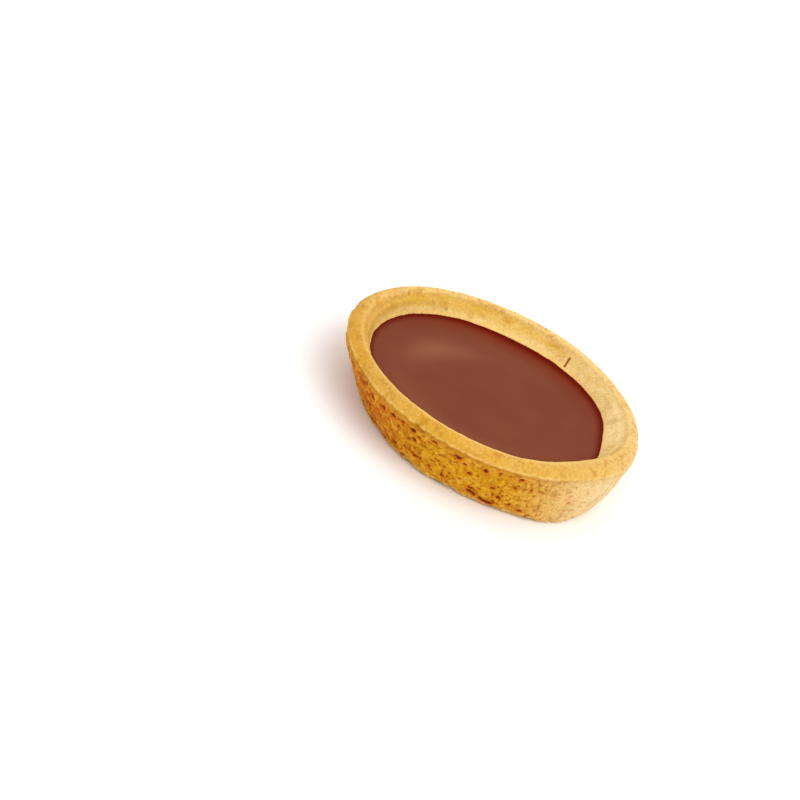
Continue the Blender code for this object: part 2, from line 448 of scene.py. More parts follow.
# Pits: two layers laid round the tart by chance, then the single ones of the near side
pits = {
    "large": {
        "cell": 2.1,
        "radius": (0.28, 0.5),
        "fewLarge": 1.2,
        "filled": 0.55,
        "stretch": 1.4,
        "core": 0.25,
        "seed": 11,
    },
    "medium": {
        "cell": 1.1,
        "radius": (0.2, 0.36),
        "fewLarge": 1.0,
        "filled": 0.75,
        "stretch": 1.35,
        "core": 0.1,
        "seed": 12,
    },
    "spareRows": 4,
    "jitter": (0.15, 0.85),
    "emptyRadius": 1e-6,
    "lieSpread": 1.2,  # radians
    "palest": 0.4,
    "haloReach": (0.9, 2.0),  # in radii of the pit
    "warp": 0.2,
    "largeDepth": 0.45,
    "mediumDepth": 0.3,
    "crowd": (-0.3, 0.4),
    "crowdAtBrownEnd": 0.3,
    "largeSparse": 0.3,  # share that is left where they are sparse
    "mediumSparse": 0.5,
    "mediumShade": 0.9,
    "mediumShadeSparse": 0.6,
    "mediumHalo": 0.5,
    "onBase": 0.35,
    "onRim": 0.1,
    "onSlope": 0.12,
    "fewPlaces": ((-16, 40, 1.0),),
    "fewShare": 0.85,
    "singleDepth": 0.8,
    "singleCore": (0.3, 1.1),
    "singleHaloReach": (1.0, 2.6),
    # angle in degrees, height, radius, stretch, darkness
    "single": (
        (-138, 8.6, 0.3, 2.0, 0.7), (-131, 8.0, 0.4, 1.2, 0.8), (-124.5, 8.1, 0.4, 1.2, 0.9),
        (-119, 8.6, 0.38, 2.0, 1.0), (-114.8, 9.0, 0.32, 1.5, 0.9), (-112.5, 9.3, 0.3, 1.2, 0.8),
        (-120, 2.4, 0.4, 1.5, 0.8), (-109, 3.3, 0.35, 1.6, 0.8), (-107, 8.1, 0.32, 1.4, 0.8),
        (-101, 9.2, 0.3, 1.6, 0.8), (-97, 2.6, 0.35, 1.5, 0.8), (-91.5, 8.7, 0.48, 1.3, 1.0),
        (-88.8, 8.0, 0.34, 1.4, 0.8), (-86.5, 6.2, 0.34, 1.2, 0.8), (-85, 3.1, 0.36, 2.2, 0.9),
        (-81.2, 8.4, 0.5, 1.2, 1.0), (-77, 5.0, 0.3, 1.5, 0.7), (-73.8, 3.3, 0.32, 1.4, 0.8),
        (-69.2, 2.5, 0.32, 1.6, 0.8), (-69, 6.7, 0.3, 1.5, 0.7), (-68.2, 9.0, 0.34, 2.2, 0.9),
        (-64, 1.8, 0.34, 1.5, 0.8), (-60.8, 0.6, 0.34, 1.0, 1.0),
    ),
}


def pitLayer(grid, layer):
    # One pit to a cell of a grid laid round the tart, jittered, with some cells left empty.
    # inside = fade(core, 1, distance / radius); depth = inside * radius / largest radius,
    # shade = inside * darkness and halo = fade(haloReach) * darkness, each the most of the nine nearest cells
    rng = np.random.default_rng(layer["seed"])
    columns = int(round(grid.girth / layer["cell"]))
    width = grid.girth / columns
    start = grid.walked.min() - width
    shape = (columns, int(np.ptp(grid.walked) / width) + pits["spareRows"])
    jitterTurned, jitterWalked = rng.uniform(*pits["jitter"], (2, *shape))
    radius = mix(*layer["radius"], rng.random(shape) ** layer["fewLarge"])
    radius = np.where(rng.random(shape) < layer["filled"], radius, pits["emptyRadius"])
    stretch = rng.uniform(1, layer["stretch"], shape)
    lie = rng.normal(0, pits["lieSpread"], shape)
    dark = rng.uniform(pits["palest"], 1, shape)
    u, v = grid.turned / width, (grid.walked - start) / width
    cellU, cellV = np.floor(u).astype(int), np.floor(v).astype(int)
    depth, shade, halo = np.zeros((3, *grid.turned.shape))
    for du in (-1, 0, 1):
        for dv in (-1, 0, 1):
            i = (cellU + du) % columns
            j = np.clip(cellV + dv, 0, shape[1] - 1)
            right = (u - cellU - du - jitterTurned[i, j]) * width
            over = (v - cellV - dv - jitterWalked[i, j]) * width
            long = (np.cos(lie[i, j]) * right + np.sin(lie[i, j]) * over) / stretch[i, j]
            short = np.cos(lie[i, j]) * over - np.sin(lie[i, j]) * right
            far = np.hypot(long, short) / radius[i, j]
            inside = fade(layer["core"], 1, far)
            depth = np.maximum(depth, inside * radius[i, j] / layer["radius"][1])
            shade = np.maximum(shade, inside * dark[i, j])
            halo = np.maximum(halo, fade(*pits["haloReach"], far) * dark[i, j])
    return depth, shade, halo


def singlePits(grid):
    # depth, shade and halo of the single pits, as in pitLayer
    depth, shade, halo = np.zeros((3, *grid.height.shape))
    for middle, level, radius, stretch, dark in pits["single"]:
        away = turnFrom(grid.turned / shell["baseRadius"], middle) * shell["baseRadius"]
        far = np.hypot(away / stretch, grid.height - level) / radius
        inside = fade(*pits["singleCore"], far)
        depth = np.maximum(depth, inside * radius)
        shade = np.maximum(shade, inside * dark)
        halo = np.maximum(halo, fade(*pits["singleHaloReach"], far) * dark)
    return depth, shade, halo


def shellPits(grid, on):
    # relief = -(sum of depth * share of each sort of pit), and shade and halo are the strongest of them
    shadedBrownEnd = around(grid.angle, crust["shadedBrownEnd"])
    crowd = smoothStep(*pits["crowd"], shellNoise(grid.plain, "crowd") + pits["crowdAtBrownEnd"] * shadedBrownEnd)
    pitted = on["wall"] + pits["onBase"] * on["base"]
    pitted = pitted * (1 - pits["fewShare"] * around(grid.angle, pits["fewPlaces"]))
    large = pitted * mix(pits["largeSparse"], 1, crowd)
    onTop = pits["onRim"] * on["rim"] + pits["onSlope"] * on["slope"]
    medium = np.maximum(pitted * mix(pits["mediumSparse"], 1, crowd), onTop)
    largeDepth, largeShade, largeHalo = pitLayer(grid, pits["large"])
    mediumDepth, mediumShade, mediumHalo = pitLayer(grid, pits["medium"])
    singleDepth, singleShade, singleHalo = singlePits(grid)
    relief = -pits["largeDepth"] * large * largeDepth - pits["mediumDepth"] * medium * mediumDepth
    relief -= pits["singleDepth"] * on["wall"] * singleDepth
    shade = pits["mediumShade"] * pitted * mediumShade * mix(pits["mediumShadeSparse"], 1, crowd)
    shade = np.maximum(np.maximum(large * largeShade, shade), on["wall"] * singleShade)
    halo = pits["mediumHalo"] * pitted * mediumHalo * crowd
    halo = np.maximum(np.maximum(large * largeHalo, halo), on["wall"] * singleHalo)
    return relief, shade, halo


# Marks that stand out, with angles in degrees and the rest in millimetres
marks = {
    # each crevice is a path of (angle, height)
    "crevices": (((-85.8, 2.35), (-84.8, 2.3), (-83, 1.9)), ((-80.8, 1.35), (-78, 1.1), (-75.6, 1.15))),
    "creviceWidth": 0.42,
    "creviceWander": 0.25,
    "creviceCore": (0.3, 1),  # in widths
    "creviceHaloReach": (0.9, 2.2),
    "creviceDepth": 0.35,
    "creviceShade": 0.85,
    "crackAngle": 60.8,
    "crackSlant": 0.9,  # degrees for each millimetre outwards
    "crackSpan": (22.3, 24.0),  # radius of its two ends
    "crackEnd": 0.2,
    "crackWidth": 0.25,
    "crackWander": 0.06,
    "crackCore": (0.4, 1.1),  # in widths
    "crackDepth": 0.3,
    "crackShade": 0.65,
    # angle, half width in degrees, depth
    "chips": ((-125.2, 0.9, 0.28), (-120.7, 0.9, 0.28), (-97, 1.2, 0.14), (-63, 1.0, 0.14)),
    "chipHeight": 0.4,
    # angle, radius, half size, darkness
    "specks": (
        (124.5, 22.9, 0.3, 1.0), (146.5, 24.4, 0.3, 0.8), (15, 23.0, 1.1, 0.35), (150, 24.6, 0.9, 0.3),
    ),
    "speckCore": (0.2, 1.3),  # in half sizes
}


def crevices(grid, on):
    # strength and halo are each a fade of distance to the nearest path / width, on the wall alone
    nearSide = (grid.turned + grid.girth / 2) % grid.girth - grid.girth / 2
    wavering = grid.height + marks["creviceWander"] * shellNoise(grid.plain, "crevice")
    away = np.full(grid.height.shape, farAway)
    for path in marks["crevices"]:
        laidOut = [(math.radians(turn) * shell["baseRadius"], level) for turn, level in path]
        away = np.minimum(away, distanceToLine(nearSide, wavering, laidOut) / marks["creviceWidth"])
    return on["wall"] * fade(*marks["creviceCore"], away), on["wall"] * fade(*marks["creviceHaloReach"], away)


def crack(grid):
    # fade of the distance round the tart to a slanting line / width, between two radii
    inner, outer = marks["crackSpan"]
    slanting = marks["crackAngle"] + marks["crackSlant"] * (grid.radius - (inner + outer) / 2)
    away = (grid.angle - np.radians(slanting)) * grid.radius
    away = away + marks["crackWander"] * shellNoise(grid.plain, "crack")
    strength = fade(*marks["crackCore"], np.abs(away) / marks["crackWidth"]) * (1 - grid.outside)
    strength = strength * smoothStep(inner, inner + marks["crackEnd"], grid.radius)
    return strength * fade(outer - marks["crackEnd"], outer, grid.radius)


def specks(grid):
    # the strongest of darkness * fade(distance / half size), on the inner side
    strength = np.zeros(grid.height.shape)
    for middle, ring, size, dark in marks["specks"]:
        away = np.hypot(turnFrom(grid.angle, middle) * grid.radius, grid.radius - ring)
        strength = np.maximum(strength, dark * (1 - grid.outside) * fade(*marks["speckCore"], away / size))
    return strength


# Crust: relief in millimetres, then where its colours lie, as shares and as places round the tart.
# A pair named From, and patches and pale wall, say where noise starts to count and where it counts in full.
crust = {
    "lumps": {"wall": 0.09, "collar": 0.08, "rim": 0.04, "slope": 0.05, "base": 0.03},
    "grain": {"wall": 0.1, "collar": 0.07, "rim": 0.028, "slope": 0.025, "base": 0.02},
    "smoothShare": 0.5,  # share of the wall's lumps and grain that is gone where pits are few
    "raggedFine": 0.6,
    "raggedFrom": (-0.2, 0.9),
    "raggedDepth": 0.36,
    "raggedLip": 0.2,
    "fringeDepth": 0.05,
    "roughLip": ((-27, 6, 1.0),),
    "roughLipHeight": 0.3,
    "lostCrumbHeight": (0.6, 0.7),  # middle and half width of the band that they are lost from
    "lostCrumbFrom": (-0.1, 0.7),
    "lostCrumbDepth": 0.35,
    "footChipHeight": 0.9,
    "footChipReach": (-2.2, -0.9),  # from the base's edge outwards
    "footChipFrom": (-0.2, 0.8),
    "footChipFlattened": 0.4,  # the noise's heights are multiplied by this, which draws the chips out upwards
    "footChipDepth": 0.52,
    # paler towards +X: partly a lighter bake, partly painted light
    "paleLitPlaces": {"rim": ((12, 42, 1.0), (62, 25, 0.3), (-52, 25, 0.15)), "wall": ((-20, 42, 1.0),)},
    "litPaleWall": (0.15, 0.95),
    # darker and browner towards -X: partly a deeper bake, partly painted shade
    "shadedBrownEnd": ((-160, 42, 1.0), (-134, 16, 0.4)),
    "brownLumps": 0.25,
    # painted shade in the hollows and painted light on the lumps, following the relief's lumps and grain
    "reliefShadingMiddle": 0.5,
    "reliefShadingLumps": 0.3,
    "reliefShadingGrain": 0.45,
    "reliefShadingLostOnSlope": 0.7,
    "bandWander": 0.25,
    "goldenSlope": ((172, 32, 1.0),),
    "goldenShare": 0.7,
    "toastedPlaces": ((141, 14, 1.1), (108, 6, 0.8), (92, 7, 0.7), (71, 9, 0.8), (40, 12, 0.3)),
    "toastBand": (1.35, 0.6),  # middle and half width, down from the top of the rim
    "toastPatches": (-0.9, 0.1),
    "toastLeast": 0.15,
    "creamSide": ((85, 55, 1.0), (42, 22, 0.4), (150, 25, 0.4)),
    "creamRim": (0.5, 1.0),  # down from the top of the rim
    "creamSlope": (1.9, 2.8),
    "creamLeast": 0.85,
    "creamGrain": 0.3,
    # pale lines: wear and painted highlight on the inner lip and ridge, painted highlight on the fringe by
    # the chocolate
    "lipHighlight": ((-80, 70, 1.1),),
    "lipHighlightLeast": 0.15,
    "ridgeHighlight": 0.65,
    "ridgeHighlightGrain": 0.6,
    "fringeHighlight": 0.8,
}


def overSurfaces(amounts, on):
    # sum of amount * share, one for each kind of surface
    return sum(amount * on[kind] for kind, amount in amounts.items())


def shellRelief(grid, on, lumps, grain):
    # lumps and grain by kind of surface, less the ragged lines, the chips and the lost crumbs
    few = around(grid.angle, pits["fewPlaces"])
    rough = {**on, "wall": on["wall"] * (1 - crust["smoothShare"] * few)}
    relief = lumps * overSurfaces(crust["lumps"], rough) + grain * overSurfaces(crust["grain"], rough)
    ragged = shellNoise(grid.plain, "ragged") + crust["raggedFine"] * shellNoise(grid.plain, "raggedFine")
    edges = on["ridgeLine"] + crust["raggedLip"] * on["lipLine"]
    relief -= crust["raggedDepth"] * smoothStep(*crust["raggedFrom"], ragged) * edges
    relief -= crust["fringeDepth"] * ragged * on["fringe"]
    roughLip = around(grid.angle, crust["roughLip"])
    relief += crust["roughLipHeight"] * roughLip * np.abs(grain) * on["lipLine"]
    for middle, width, depth in marks["chips"]:
        chip = around(grid.angle, ((middle, width, depth),))
        relief -= chip * grid.outside * bump(grid.height, grid.high, marks["chipHeight"])
    lost = grid.outside * bump(grid.height, *crust["lostCrumbHeight"])
    lost = lost * smoothStep(*crust["lostCrumbFrom"], shellNoise(grid.plain, "lostCrumbs"))
    return relief - crust["lostCrumbDepth"] * lost


def footChips(grid):
    # how far the bottom edge is chipped inwards: depth * bump(height) * smooth steps of radius and of noise
    chipped = crust["footChipDepth"] * grid.outside * bump(grid.height, 0, crust["footChipHeight"])
    chipped = chipped * smoothStep(*crust["footChipReach"], grid.radius - grid.base)
    flattened = grid.plain * (1, 1, crust["footChipFlattened"])
    return chipped * smoothStep(*crust["footChipFrom"], shellNoise(flattened, "footChips"))


def crustFields(grid, on, lumps, grain):
    # shares from 0 to 1 that the material mixes its colours by
    angle = grid.angle
    litPaleWall = smoothStep(*crust["litPaleWall"], around(angle, crust["paleLitPlaces"]["wall"]))
    # paler towards +X, partly painted light
    paleAndLit = mix(around(angle, crust["paleLitPlaces"]["rim"]), litPaleWall, on["wallSide"])
    # browner towards -X, partly painted shade
    brownAndShaded = around(angle, crust["shadedBrownEnd"]) + crust["brownLumps"] * lumps * on["wall"]
    # painted shade where the relief is low, painted light where it is high
    reliefShadingGrain = crust["reliefShadingGrain"] * grain * (1 - crust["reliefShadingLostOnSlope"] * on["slope"])
    reliefShading = crust["reliefShadingMiddle"] + crust["reliefShadingLumps"] * lumps + reliefShadingGrain
    wavyDown = grid.down + crust["bandWander"] * shellNoise(grid.plain, "bands")
    toast = (1 - grid.outside) * bump(wavyDown, *crust["toastBand"])
    toast = toast * smoothStep(*crust["toastPatches"], shellNoise(grid.plain, "patches"))
    toast = toast * np.clip(around(angle, crust["toastedPlaces"]) + crust["toastLeast"], 0, 1)
    cream = on["slope"] * smoothStep(*crust["creamSlope"], wavyDown)
    cream = np.maximum(on["rim"] * fade(*crust["creamRim"], wavyDown), cream)
    cream = cream * around(angle, crust["creamSide"]) * (crust["creamLeast"] + crust["creamGrain"] * grain)
    # pale lines: wear and painted highlight on the ridge and inner lip, painted highlight by the chocolate
    # and along the bottom edge
    wearAndHighlight = on["ridgeLine"] * (crust["ridgeHighlight"] + crust["ridgeHighlightGrain"] * grain)
    wearAndHighlight = wearAndHighlight + (crust["lipHighlightLeast"] + around(angle, crust["lipHighlight"])) * on["lipLine"]
    wearAndHighlight = wearAndHighlight + crust["fringeHighlight"] * on["fringe"] + on["footHighlight"]
    return {
        "reliefShading": np.clip(reliefShading, 0, 1),
        "wall": on["wall"] + on["base"],
        "collar": on["collar"],
        "slope": on["slope"] * (1 - crust["goldenShare"] * around(angle, crust["goldenSlope"])),
        "paleAndLit": np.clip(paleAndLit, 0, 1),
        "outer": on["outer"],
        "brownAndShaded": np.clip(brownAndShaded, 0, 1),
        "cream": np.clip(cream, 0, 1),
        "toast": toast,
        "wearAndHighlight": np.clip(wearAndHighlight, 0, 1),
    }


def buildShell():
    # points = outline + relief * normal - foot chips * outwards, then settled
    grid = shellGrid()
    on = shellSurfaces(grid)
    lumps, grain = shellNoise(grid.plain, "lumps"), shellNoise(grid.plain, "grain")
    pitRelief, pitShade, pitHalo = shellPits(grid, on)
    crevice, creviceHalo = crevices(grid, on)
    crackStrength = crack(grid)
    relief = pitRelief + shellRelief(grid, on, lumps, grain)
    relief = relief - marks["creviceDepth"] * crevice - marks["crackDepth"] * crackStrength
    outwards = atAngle(1, grid.angle, 0 * grid.angle)
    raised = grid.plain + gridNormals(grid.plain) * relief[..., None]
    points = settle(raised - footChips(grid)[..., None] * outwards)
    shade = np.maximum(marks["creviceShade"] * crevice, marks["crackShade"] * crackStrength)
    fields = {
        "pit": np.clip(np.maximum(pitShade, shade), 0, 1),
        "halo": np.clip(np.maximum(pitHalo, creviceHalo), 0, 1),
        "speck": specks(grid),
        **crustFields(grid, on, lumps, grain),
    }
    piece = closedTurn("biscuitShell", points, fields)
    piece.data.materials.append(pastryMaterial())
    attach(piece, "root")
    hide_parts("pastry_shell")
    return piece


# Chocolate
chocolate = {
    "columns": 480,
    "overlap": 0.25,  # how far it reaches into the shell
    # underside and side as (share of the radius, height), all inside the shell
    "sideKnots": ((0.14, 2.9), (0.6, 2.9), (0.88, 2.9), (0.9, 3.5), (0.93, 5.5), (0.965, 7.4), (0.99, 8.2)),
    "level": 8.45,
    "topRings": 64,
    "innermost": 0.02,  # radians on the sine that spaces the rings, closest at the edge
    "meniscus": 0.28,
    "meniscusWidth": 0.8,
    "climbs": ((180, 10, 0.1),),
    "waves": ((0.05, 9.0, 61), (0.006, 1.6, 64)),  # height, size, seed
    "highlightPlace": (-11.5, 4.5),  # a painted highlight, a paler bent streak on the surface
    "highlightTurn": 50,  # degrees that it lies off +X
    "highlightLength": 7.0,
    "highlightWidth": 2.8,
    "highlightBend": 0.5,
    "highlightWander": (0.2, 5.0, 66),  # amount, size, seed
    "ringRadius": 18.6,  # a faint band of painted sheen along the near side
    "ringWidth": 1.9,
    "ringWander": (0.5, 4.0, 67),
    "ringPlaces": ((-105, 55, 0.4),),
    "farShadedEdges": ((80, 75, 1.0),),  # where the dark edge of painted shade is broad
    "shadedEdgeWidths": (1.2, 3.4),  # narrow and broad
    "shadedEdgeCore": 0.1,
    "crustReflectionPlaces": ((82, 55, 0.8),),  # where the painted reflection of the crust and painted shade lie, and how far in
    "warmWidth": 8.0,
}


def wander(points, setting):
    # amount * lattice noise
    amount, size, seed = setting
    return amount * latticeNoise(points, size, seed)


def sheenHighlightShare(plain, radius, angle):
    # painted highlight: bump(distance from the streak's bent line), or bump(radius) for the ring of painted
    # sheen, whichever is more
    fromX, fromY = plain[..., 0] - chocolate["highlightPlace"][0], plain[..., 1] - chocolate["highlightPlace"][1]
    turn = math.radians(chocolate["highlightTurn"])
    long = (fromX * math.cos(turn) + fromY * math.sin(turn)) / chocolate["highlightLength"]
    short = (fromY * math.cos(turn) - fromX * math.sin(turn)) / chocolate["highlightWidth"]
    away = np.hypot(long, short + chocolate["highlightBend"] * long**2)
    sheenHighlight = bump(away + wander(plain, chocolate["highlightWander"]), 0, 1)
    wavyRadius = radius + wander(plain, chocolate["ringWander"])
    ring = bump(wavyRadius, chocolate["ringRadius"], chocolate["ringWidth"])
    return np.maximum(sheenHighlight, ring * around(angle, chocolate["ringPlaces"]))


def buildChocolate():
    # top = level + meniscus * exp(-(edge - radius) / width) + slow noise; the side and underside stay in
    # the shell
    angle = anglesRound(chocolate["columns"])
    edge = wellRadius(angle) + chocolate["overlap"]
    knots = np.array(chocolate["sideKnots"])
    rings = np.sin(np.linspace(math.pi / 2, chocolate["innermost"], chocolate["topRings"]))
    radius = column(np.concatenate([knots[:, 0], rings])) * edge
    level = np.concatenate([knots[:, 1], np.full(len(rings), chocolate["level"])])
    plain = atAngle(radius, angle, column(level) + 0 * angle)
    onTop = column(np.arange(len(level)) >= len(knots))
    inwards = edge - radius
    meniscus = chocolate["meniscus"] + around(angle, chocolate["climbs"])
    climb = meniscus * np.exp(-inwards / chocolate["meniscusWidth"])
    waves = sum(tall * roughNoise(plain, size, seed, 2) for tall, size, seed in chocolate["waves"])
    points = plain.copy()
    points[..., 2] += onTop * (climb + waves)
    shadedEdgeWidth = mix(*chocolate["shadedEdgeWidths"], around(angle, chocolate["farShadedEdges"]))
    # painted reflection of the crust and painted shade: redder towards the far edge
    warm = fade(0, 1, inwards / chocolate["warmWidth"]) * around(angle, chocolate["crustReflectionPlaces"])
    fields = {
        # painted shade: a dark band along the chocolate's edge, broad at the far side
        "edge": fade(chocolate["shadedEdgeCore"], 1, inwards / shadedEdgeWidth) * onTop,
        "warm": warm * onTop,
        # painted highlight: a paler streak, and a band of painted sheen along the near side
        "sheenHighlight": sheenHighlightShare(plain, radius, angle) * onTop,
    }
    piece = closedTurn("chocolateDisc", settle(points), fields)
    piece.data.materials.append(chocolateMaterial())
    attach(piece, "root")
    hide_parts("chocolate_filling")
    return piece


# Materials, with their sizes in metres

def newMaterial(name):
    material = bpy.data.materials.new(name)
    material.use_nodes = True
    tree = material.node_tree
    return material, tree, tree.nodes["Principled BSDF"]


def attributeValue(tree, name):
    node = tree.nodes.new("ShaderNodeAttribute")
    node.attribute_name = name
    return node.outputs["Fac"]


def noiseValue(tree, size, detail, roughness=0.55):
    # noise on Object coordinates, with features about size metres wide
    place = tree.nodes.new("ShaderNodeTexCoord")
    node = tree.nodes.new("ShaderNodeTexNoise")
    node.inputs["Scale"].default_value = 1 / size
    node.inputs["Detail"].default_value = detail
    node.inputs["Roughness"].default_value = roughness
    tree.links.new(place.outputs["Object"], node.inputs["Vector"])
    return node.outputs["Fac"]


def poreValue(tree, size, radius):
    # 1 in small round pores, one to a cell of about size metres, where the distance to its point is least
    core = 0.4
    place = tree.nodes.new("ShaderNodeTexCoord")
    node = tree.nodes.new("ShaderNodeTexVoronoi")
    node.inputs["Scale"].default_value = 1 / size
    tree.links.new(place.outputs["Object"], node.inputs["Vector"])
    return remap(tree, node.outputs["Distance"], radius, core * radius)


def remap(tree, value, fromLow, fromHigh, toLow=0.0, toHigh=1.0):
    node = tree.nodes.new("ShaderNodeMapRange")
    node.inputs["From Min"].default_value = fromLow
    node.inputs["From Max"].default_value = fromHigh
    node.inputs["To Min"].default_value = toLow
    node.inputs["To Max"].default_value = toHigh
    tree.links.new(value, node.inputs["Value"])
    return node.outputs["Result"]


def calculate(tree, operation, first, second):
    node = tree.nodes.new("ShaderNodeMath")
    node.operation = operation
    for socket, value in zip(node.inputs, (first, second)):
        if isinstance(value, (int, float)):
            socket.default_value = value
        else:
            tree.links.new(value, socket)
    return node.outputs["Value"]


def product(tree, *values):
    total = values[0]
    for value in values[1:]:
        total = calculate(tree, "MULTIPLY", total, value)
    return total


def blendColour(tree, share, below, above, blend="MIX"):
    # the colour below, with the colour above mixed in or multiplied in by the share
    node = tree.nodes.new("ShaderNodeMix")
    node.data_type = "RGBA"
    node.blend_type = blend
    first, second = [socket for socket in node.inputs if socket.type == "RGBA"]
    for socket, value in ((first, below), (second, above)):
        if isinstance(value, tuple):
            socket.default_value = (*value, 1)
        else:
            tree.links.new(value, socket)
    tree.links.new(share, node.inputs["Factor"])
    return [socket for socket in node.outputs if socket.type == "RGBA"][0]


def addBump(tree, shader, height, strength, distance):
    relief = tree.nodes.new("ShaderNodeBump")
    relief.inputs["Strength"].default_value = strength
    relief.inputs["Distance"].default_value = distance
    tree.links.new(height, relief.inputs["Height"])
    tree.links.new(relief.outputs["Normal"], shader.inputs["Normal"])


# Colours, then how much of each, then sizes. A pair named From is where a field or a noise starts to
# count and where it counts in full.
pastryLook = {
    "rimGold": (0.66, 0.36, 0.06),
    "rimOuter": (0.65, 0.36, 0.042),
    # brown of the rim towards -X, partly painted shade
    "rimBrownShaded": (0.58, 0.28, 0.025),
    # pale gold: the rim's random paler clouds, and its painted light towards +X
    "rimPale": (0.78, 0.55, 0.24),
    "rimSlope": (0.74, 0.48, 0.115),
    # palest colour of the slope towards +X, partly painted light
    "slopePaleLit": (0.92, 0.71, 0.35),
    "cream": (0.84, 0.60, 0.24),
    "toast": (0.67, 0.40, 0.045),
    # darker orange band under the ridge, partly painted shade under its overhang
    "collar": (0.55, 0.25, 0.010),
    "wallGold": (0.66, 0.345, 0.010),
    # brown of the wall towards -X, partly painted shade
    "wallBrownShaded": (0.55, 0.18, 0.004),
    # pale of the wall and collar towards +X, partly painted light
    "wallPaleLit": (0.80, 0.61, 0.32),
    # colour of the painted light on the lumps
    "lumpLight": (0.80, 0.48, 0.05),
    # pale of the worn edges and their painted highlights
    "wearAndHighlight": (0.83, 0.54, 0.16),
    "haloTint": (0.94, 0.57, 0.33),
    "pitTint": (0.62, 0.33, 0.15),
    "pitDark": (0.17, 0.022, 0.003),
    # tint of the painted shade in the hollows
    "hollowShadeTint": (0.72, 0.55, 0.3),
    "sandTint": (0.80, 0.66, 0.40),
    "speck": (0.26, 0.17, 0.03),
    "rimBrownShadedShare": 0.35,
    "cloudShare": 0.15,
    "paleLitShare": 0.95,
    "toastShare": 0.9,
    "collarPaleShare": 0.8,
    "collarShare": 0.9,
    "grainy": (0.6, 0.9),  # on the rim and on the wall
    "grainyPale": 0.6,
    "hollowShadeFrom": (0.5, 0.05),
    "lumpLightFrom": (0.55, 0.95),
    "lumpLightShare": 0.5,
    "wearAndHighlightShare": 0.75,
    "poreShares": (0.95, 0.2),  # on the golden and on the pale wall
    "haloShare": 0.75,
    "pitTintFrom": (0.03, 0.45),
    "pitDarkFrom": (0.3, 0.8),
    "speckShare": 0.8,
    "sandSize": 0.00042,
    "sandDetail": 2,
    "sandFrom": (0.62, 0.36),
    "cloudSize": 0.0045,
    "cloudFrom": (0.35, 0.65),
    "poreCell": 0.001,
    "poreRadius": 0.27,  # in cells
    "roughness": 0.8,
    "shine": 0.1,
    "bumpDetail": 3,
    "bumpRoughness": 0.6,
    "bumpOnRim": 0.4,
    "bumpStrength": 0.45,
    "bumpDepth": 0.00012,
}


